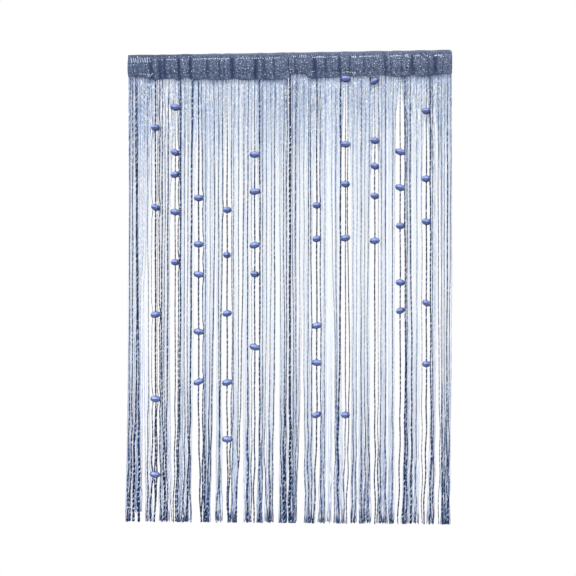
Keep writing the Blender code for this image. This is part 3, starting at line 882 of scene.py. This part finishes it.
def make_silver_stitches(panel, finish):
    """All silver stitches of a band; a tall one is a chain of short links."""
    rng = random.Random(panel.seed)
    bm = bmesh.new()
    shade = bm.verts.layers.float.new("shade")
    for x, drop, width, height, lean, tone in row_stitches(panel, rng) + loose_stitches(panel, rng):
        links = max(1, round(height / STITCH_LINK))
        for link in range(links):
            link_drop = drop + height * ((link + 0.5) / links - 0.5)
            link_x = x - sin(lean) * (link_drop - drop)
            matrix = on_band(panel, link_x, link_drop, width, height / links * LINK_LAP, lean)
            for vert in add_ball(bm, matrix):
                vert[shade] = tone
    return add_piece(f"{panel.side}_silver_stitches", bm, finish)


def make_edge_loops(panel, finish):
    """The last row of knitting, a short loop over each group of strings."""
    bm = bmesh.new()
    low = panel.start + EDGE_MARGIN
    high = panel.end - EDGE_MARGIN
    count = round((high - low) / EDGE_LOOP)
    wide, deep, tall = EDGE_LOOP_SIZE
    for index in range(count + 1):
        x = mix(low, high, index / count)
        drop = edge_drop(panel, x) - 0.3 + 0.7 * sin(index * 2.3)
        place = Vector((x, edge_flutter(panel, x), -drop)) + CURL * corner_curl(panel, x, BAND_DEPTH)
        size = Matrix.Diagonal((wide, deep, tall + 0.5 * sin(index * 1.7))).to_4x4()
        add_ball(bm, Matrix.Scale(MM, 4) @ Matrix.Translation(place) @ size)
    return add_piece(f"{panel.side}_edge_loops", bm, finish)


# Strings


def corners(thread, level):
    """The corners of a string's section at a level."""
    turn = thread.turns[level]
    half = thread.widths[level] / 2 * MM
    across = Vector((cos(turn), sin(turn), 0)) * half
    deep = Vector((-sin(turn), cos(turn), 0)) * half
    return [thread.path[level] + across * wide + deep * thick for wide, thick in thread.section]


def make_threads(name, threads, finish):
    """Draws all strings of one piece out together, level by level."""
    bm = bmesh.new()
    number = bm.faces.layers.int.new("number")
    shade = bm.verts.layers.float.new("shade")
    along = bm.verts.layers.float.new("along")
    tips = []
    for index, thread in enumerate(threads):
        face = bm.faces.new([bm.verts.new(corner) for corner in corners(thread, 0)])
        face[number] = index
        for vert in face.verts:
            vert[shade] = thread.shade
        tips.append(face)
    roots = [list(face.verts) for face in tips]
    for level in range(1, len(threads[0].path)):
        tips = bmesh.ops.extrude_discrete_faces(bm, faces=tips)["faces"]
        for face in tips:
            thread = threads[face[number]]
            for vert, corner in zip(face.verts, corners(thread, level)):
                vert.co = corner
                vert[along] = thread.path[0].z - thread.path[level].z
        if level == 1:
            for ring in roots:
                bm.faces.new(reversed(ring))
    bmesh.ops.recalc_face_normals(bm, faces=bm.faces)
    return add_piece(name, bm, finish)


def bead_nodes(panel):
    return sorted(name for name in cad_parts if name.startswith(f"bead_{panel.side}_"))


def read_beads(panel):
    """Where the panel's beads are, from the frame."""
    beads = []
    for name in bead_nodes(panel):
        low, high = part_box(name)
        centre = (low + high) / 2 / MM
        half = (high - low) / 2 / MM
        beads.append(Bead(centre.x, centre.y, -centre.z, *half))
    return beads


def behind_beads(beads, x, y, drop):
    """Leads a string that meets a bead round behind it."""
    for bead in beads:
        aside = abs(x - bead.x) - bead.half_width
        above = abs(drop - bead.drop) - bead.half_height
        if aside < BEAD_ASIDE and above < BEAD_REACH:
            share = smooth(1 - aside / BEAD_ASIDE) * smooth(1 - above / BEAD_REACH)
            y = mix(y, bead.y + bead.half_depth + BEAD_CLEARANCE + 0.25 * y, share)
    return y


def tangle_shift(panel, x, drop, phase):
    """How far a string swings to the side where strings loop across each other."""
    shift = 0
    for tangle in panel.tangles:
        if abs(x - tangle.x) < 2 * tangle.width:
            near = hump(x - tangle.x, tangle.width) * hump(drop - tangle.drop, tangle.height)
            shift += tangle.reach * near * sin(drop / tangle.height * TANGLE_WAVES + phase)
    return shift


def swell_of_string(drop, root_drop):
    """Strings are fuller where they leave the band and at their ends, and thinnest halfway."""
    root = ROOT_SWELL * (1 - smooth((drop - root_drop) / ROOT_TAPER))
    tuft = TUFT_SWELL * smooth((drop - HEM_DROP + TUFT) / TUFT)
    slim = MIDDLE_SLIM * hump(drop - SLIM_DROP, SLIM_REACH)
    return 1 + root + tuft + HEM_SWELL * smooth((drop - SPREAD_DROP) / HEM_SWELL_REACH) - slim


def sway(drop, length, phase):
    """A steady wave down a string."""
    return sin(tau * drop / length + phase)


def parting_drop(panel, x):
    """The drop where fine strings that leave the band at a place have drawn into their lock."""
    places = [column.x for column in panel.columns]
    return curve_through(places, [column.parted for column in panel.columns], x)


def fine_string(panel, beads, lock, spot, root, tone, rng):
    """One fine string, which keeps to its place in its lock."""
    mid = lock.mid_x + lock.mid_width * (spot + rng.gauss(0, 0.07))
    hem = lock.hem_x + lock.hem_width * (0.9 * spot + rng.gauss(0, 0.09))
    root_drop = edge_drop(panel, root)
    parted = parting_drop(panel, root)
    knots = (root_drop, mix(root_drop, parted, 0.5), parted, MIDDLE, PLUMB, HEM_DROP)
    values = (root, mix(root, mid, 0.25), mix(root, mid, 0.75), mid, mix(mid, hem, 0.45), hem)
    depth = rng.uniform(-1, 1) * FINE_DEPTH
    phases = [rng.uniform(0, tau) for _ in range(4)]
    drift = rng.uniform(*DRIFT_LENGTHS)
    kink = rng.uniform(*KINK_LENGTHS)
    short = lock.short * rng.uniform(0.75, 1) if rng.random() < EVEN_ENDS else 0
    end = HEM_DROP - short - RAGGED * rng.random() ** 2
    path = []
    for level in range(FINE_LEVELS + 1):
        drop = mix(root_drop - 1, end, level / FINE_LEVELS)
        loose = smooth((drop - root_drop) / LOOSENING)
        curly = loose * (1 + CURLY_SHARE * smooth((drop - CURLY_DROP) / CURLY_REACH))
        wander = HEM_WANDER * smooth((drop - SPREAD_DROP) / SPREAD_REACH)
        x = curve_through(knots, values, drop)
        x += loose * 0.45 * sway(drop, drift, phases[0] + pi / 2)
        x += curly * 0.28 * sway(drop, kink, phases[1])
        x += wander * sway(drop, 0.4 * drift, phases[2])
        x += loose * tangle_shift(panel, x, drop, phases[2])
        y = mix(edge_flutter(panel, root), depth, loose) + curly * 0.5 * sway(drop, kink, phases[3])
        path.append(Vector((x, behind_beads(beads, x, y, drop), -drop)) * MM)
    widths = [FINE_WIDTH * swell_of_string(-point.z / MM, root_drop) for point in path]
    spin = rng.uniform(-0.9, 0.9)
    turns = [phases[3] + spin * level for level in range(FINE_LEVELS + 1)]
    return Thread(path, widths, turns, THREE_SIDED, min(max(tone + rng.uniform(-0.1, 0.1), 0), 1))


def section_roots(panel, section):
    """Where the fine strings' roots begin and end between two beaded strings."""
    low = panel.start + END_ROOM
    high = panel.end - END_ROOM
    if section > 0:
        low = panel.columns[section - 1].x + BEADED_ROOM
    if section < len(panel.columns):
        high = panel.columns[section].x - BEADED_ROOM
    return low, high


def strand_tone(slate, rng):
    """Most strands are pale, some slate and a few navy."""
    pick = rng.random()
    if pick < 0.2 * slate:
        return rng.uniform(0, 0.2)
    if pick < slate:
        return rng.uniform(0.3, 0.55)
    return rng.uniform(0.6, 1)


def fine_strings(panel, beads):
    rng = random.Random(panel.seed + 100)
    threads = []
    for section in range(len(panel.columns) + 1):
        low, high = section_roots(panel, section)
        locks = [lock for lock in panel.locks if lock.section == section]
        total = sum(lock.count for lock in locks)
        place = 0
        for lock in locks:
            for strand in range(lock.count):
                tone = strand_tone(lock.slate, rng)
                for string in range(STRINGS_PER_STRAND):
                    share = (string + 0.5) / STRINGS_PER_STRAND
                    root = mix(low, high, (place + share + rng.uniform(-0.08, 0.08)) / total)
                    spot = (strand + 0.5 + STRAND_FILL * (share - 0.5)) / lock.count - 0.5
                    threads.append(fine_string(panel, beads, lock, spot, root, tone, rng))
                place += 1
    return threads


def make_veil(panel, beads, finish):
    """All fine strings of a panel, as a front and a back layer."""
    threads = fine_strings(panel, beads)
    half = len(threads) // 2
    threads.sort(key=lambda thread: thread.path[FINE_LEVELS // 2].y)
    return [
        make_threads(f"{panel.side}_fine_strings_front", threads[:half], finish),
        make_threads(f"{panel.side}_fine_strings_back", threads[half:], finish),
    ]


def turning_thread(panel, beads, knots, values, widths, turn_length, depth, end, rng):
    """A flat string that turns over and over as it falls."""
    root_drop = knots[0]
    phases = [rng.uniform(0, tau) for _ in range(3)]
    turn = rng.uniform(0, pi)
    root_share = 1 if widths[0] > WIDE_RIBBON else NARROW_ROOT
    path = []
    spans = []
    turns = []
    for level in range(RIBBON_LEVELS + 1):
        drop = mix(root_drop - 1, end, level / RIBBON_LEVELS)
        loose = smooth((drop - root_drop) / LOOSENING)
        x = curve_through(knots, values, drop) + loose * 0.5 * sway(drop, 310, phases[0])
        x += 0.7 * HEM_WANDER * smooth((drop - WAIST) / 400) * sway(drop, 150, phases[2])
        y = mix(edge_flutter(panel, values[0]), depth, loose)
        path.append(Vector((x, behind_beads(beads, x, y, drop), -drop)) * MM)
        slim = mix(root_share, 1, smooth((drop - root_drop) / ROOT_TAPER))
        width = mix(*widths, smooth((drop - WAIST) / RIBBON_WIDENING))
        spans.append(RIBBON_FULLNESS * slim * width)
        turn += pi * RIBBON_STEP / turn_length * (1 + 0.35 * sin(drop / 47 + phases[1]))
        turns.append(turn)
    return Thread(path, spans, turns, FLAT, rng.random())


def make_ribbons(panel, beads, finish):
    rng = random.Random(panel.seed + 200)
    threads = []
    for index, ribbon in enumerate(panel.ribbons):
        root_drop = edge_drop(panel, ribbon.x + ribbon.root)
        knots = (root_drop, UPPER, WAIST, LOWER, HEM_DROP)
        asides = (ribbon.root, ribbon.upper, 0, ribbon.lower, ribbon.hem)
        values = [ribbon.x + aside for aside in asides]
        end = HEM_DROP - RAGGED * rng.random()
        widths = (ribbon.width, ribbon.hem_width)
        turn = RIBBON_TURNS[index % 3]
        depth = RIBBON_DEPTHS[index % 3]
        threads.append(turning_thread(panel, beads, knots, values, widths, turn, depth, end, rng))
    return make_threads(f"{panel.side}_ribbon_strings", threads, finish)


def make_beaded_strings(panel, finish):
    """Five strings that hang plumb through their beads and drift only near the hem."""
    rng = random.Random(panel.seed + 300)
    threads = []
    for column in panel.columns:
        knots = (edge_drop(panel, column.x), PLUMB - 1, PLUMB, HEM_DROP)
        values = (column.x, column.x, column.x, column.hem_x)
        widths = (BEADED_FULLNESS * column.width,) * 2
        depth = edge_flutter(panel, column.x)
        thread = turning_thread(panel, [], knots, values, widths, BEADED_TURN, depth, HEM_DROP, rng)
        threads.append(thread)
    return make_threads(f"{panel.side}_beaded_strings", threads, finish)


# Beads


def make_gem(node, finish):
    """A finer cut of one bead: its edges are bevelled into narrow facets."""
    bm = bmesh.new()
    bm.from_mesh(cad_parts[node].data)
    bmesh.ops.remove_doubles(bm, verts=bm.verts, dist=BEAD_MERGE)
    bmesh.ops.dissolve_limit(bm, angle_limit=radians(2), verts=bm.verts, edges=bm.edges)
    low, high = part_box(node)
    centre = (low + high) / 2
    bored = {vert for vert in bm.verts if (vert.co - centre).xy.length <= BEAD_BORE}
    outer = [edge for edge in bm.edges if not bored.intersection(edge.verts)]
    bmesh.ops.bevel(
        bm, geom=outer, offset=BEAD_BEVEL, offset_type="OFFSET", segments=1, profile=0.5,
        affect="EDGES", clamp_overlap=True, material=-1,
    )
    for vert in bm.verts:
        vert.co = centre + (vert.co - centre) * BEAD_FULLNESS
    bmesh.ops.recalc_face_normals(bm, faces=bm.faces)
    gem = add_piece(node.replace("bead", "gem"), bm, finish, rounded=False)
    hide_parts(node)
    return gem


# Room


def make_floor(finish):
    bm = bmesh.new()
    bmesh.ops.create_circle(bm, cap_ends=True, segments=96, radius=FLOOR_RADIUS)
    bmesh.ops.translate(bm, verts=bm.verts, vec=(0, 0, FLOOR_HEIGHT))
    add_mesh("floor", bm, finish)


def make_world():
    """White all round for the eye, and as light a little dimmer from below."""
    world = bpy.data.worlds.new("studio")
    bpy.context.scene.world = world
    world.use_nodes = True
    tree = world.node_tree
    tree.nodes.clear()
    soft = add_node(tree, "Background", None, {"Color": WHITE})
    plain = add_node(tree, "Background", None, {"Color": WHITE})
    upward = split_vector(tree, read_place(tree, "Generated"))["Z"]
    tree.links.new(ramp(tree, upward, -0.8, 0.9, 0.75, 1.9), soft.inputs["Strength"])
    choice = add_node(tree, "MixShader")
    tree.links.new(add_node(tree, "LightPath").outputs["Is Camera Ray"], choice.inputs[0])
    tree.links.new(soft.outputs[0], choice.inputs[1])
    tree.links.new(plain.outputs[0], choice.inputs[2])
    result = add_node(tree, "OutputWorld")
    tree.links.new(choice.outputs[0], result.inputs["Surface"])


def make_light():
    """A wide soft lamp to the left, in front and above."""
    data = bpy.data.lights.new("key", "AREA")
    data.shape = "DISK"
    data.size = LAMP_SIZE
    data.energy = LAMP_POWER
    light = add_object("key", data)
    light.location = LAMP_PLACE
    light.rotation_euler = (LAMP_AIM - LAMP_PLACE).to_track_quat("-Z", "Y").to_euler()


def make_camera():
    """A level camera a little to the right of square on."""
    data = bpy.data.cameras.new("view")
    data.sensor_width = 36
    data.lens = CAMERA_LENS
    data.shift_x, data.shift_y = CAMERA_SHIFT
    camera = add_object("view", data)
    turn = radians(CAMERA_TURN)
    camera.location = (CAMERA_DISTANCE * sin(turn), -CAMERA_DISTANCE * cos(turn), CAMERA_HEIGHT)
    camera.rotation_euler = (radians(90), 0, turn)
    bpy.context.scene.camera = camera


def make_panel(panel, finishes):
    beads = read_beads(panel)
    band = make_band(panel, finishes["knit"])
    trim = [
        make_silver_stitches(panel, finishes["silver"]),
        make_edge_loops(panel, finishes["fine"]),
    ]
    strings = [
        *make_veil(panel, beads, finishes["fine"]),
        make_ribbons(panel, beads, finishes["ribbon"]),
        make_beaded_strings(panel, finishes["ribbon"]),
    ]
    gems = [make_gem(node, finishes["bead"]) for node in bead_nodes(panel)]
    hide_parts(f"heading_{panel.side}")
    for piece in strings:
        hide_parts(f"strings_{panel.side}")


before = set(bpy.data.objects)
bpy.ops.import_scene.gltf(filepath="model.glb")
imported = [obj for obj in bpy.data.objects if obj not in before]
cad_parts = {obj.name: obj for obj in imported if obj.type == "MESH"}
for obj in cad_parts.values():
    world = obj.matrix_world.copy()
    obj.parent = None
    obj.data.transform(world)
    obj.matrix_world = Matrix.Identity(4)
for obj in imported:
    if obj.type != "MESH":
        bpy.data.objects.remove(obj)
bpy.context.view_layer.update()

bpy.context.scene.view_settings.view_transform = "Standard"
make_camera()
dye = uneven_dye_group()
twist = silver_twist_group()
finishes = {
    "knit": knit_finish(dye),
    "fine": fine_finish(dye, twist),
    "ribbon": ribbon_finish(dye, twist),
    "silver": silver_finish(),
    "bead": bead_finish(dye),
}
for panel in (LEFT, RIGHT):
    make_panel(panel, finishes)

make_floor(floor_finish())
make_world()
make_light()
